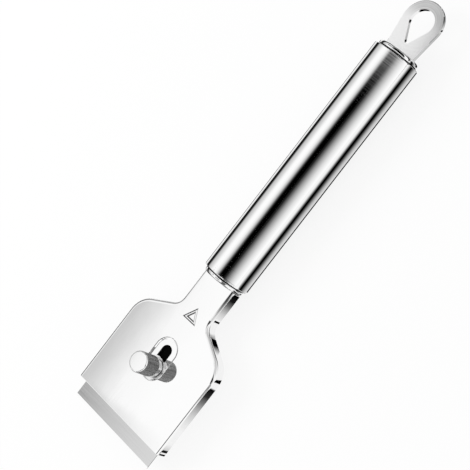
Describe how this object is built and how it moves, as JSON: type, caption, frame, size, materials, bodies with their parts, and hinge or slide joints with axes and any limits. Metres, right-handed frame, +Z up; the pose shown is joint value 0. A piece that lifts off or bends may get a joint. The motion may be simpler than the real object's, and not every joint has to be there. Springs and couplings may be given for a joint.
{
  "type": "ceramic hob scraper",
  "caption": "Hand scraper for glass hobs: rimmed sheet head, sliding blade carrier locked by a knurled thumb screw, round tube handle and teardrop hanging loop.",
  "frame": {"origin": "under the middle of the whole tool, on the surface it lies on", "axes": "+X across the head, +Y from the blade towards the hanging loop, +Z up, the side of the thumb screw"},
  "size_m": [0.0434, 0.1784, 0.0204],
  "materials": {
    "polished_steel": "mirror polished stainless steel",
    "brushed_steel": "finely brushed round the tube",
    "cap_steel": "polished stainless steel",
    "satin_steel": "satin stainless steel",
    "black_plastic": "moulded, matt",
    "blade_steel": "ground carbon steel",
    "turned_steel": "turned stainless steel",
    "knurled_steel": "straight knurled, with a polished top"
  },
  "bodies": {
    "handle": {"head_plate": "polished_steel", "handle_tube": "brushed_steel", "front_cap": "cap_steel", "rear_cap": "cap_steel", "hanging_loop": "satin_steel"},
    "slider": {"blade_carrier": "black_plastic", "scraper_blade": "blade_steel", "blade_keeper": "satin_steel", "left_peg": "turned_steel", "middle_peg": "turned_steel", "right_peg": "turned_steel", "clamp_nut": "turned_steel"},
    "washer": {"clamp_washer": "turned_steel"},
    "screw": {"thumb_screw": "knurled_steel"}
  },
  "joints": [
    {"name": "blade_slide", "type": "slide", "parent": "handle", "child": "slider", "axis": [0, 1, 0], "range_m": [0, 0.0068]},
    {"name": "screw_lift", "type": "slide", "parent": "slider", "child": "washer", "axis": [0, 0, 1], "range_m": [0, 0.0014]},
    {"name": "screw_turn", "type": "hinge", "parent": "washer", "child": "screw", "pos_m": [0, -0.06218, 0.01083], "axis": [0, 0, 1], "range_deg": [0, 720]}
  ],
  "couplings": [
    {"joint": "screw_turn", "follows": "screw_lift", "rad_per_m": 8976}
  ]
}
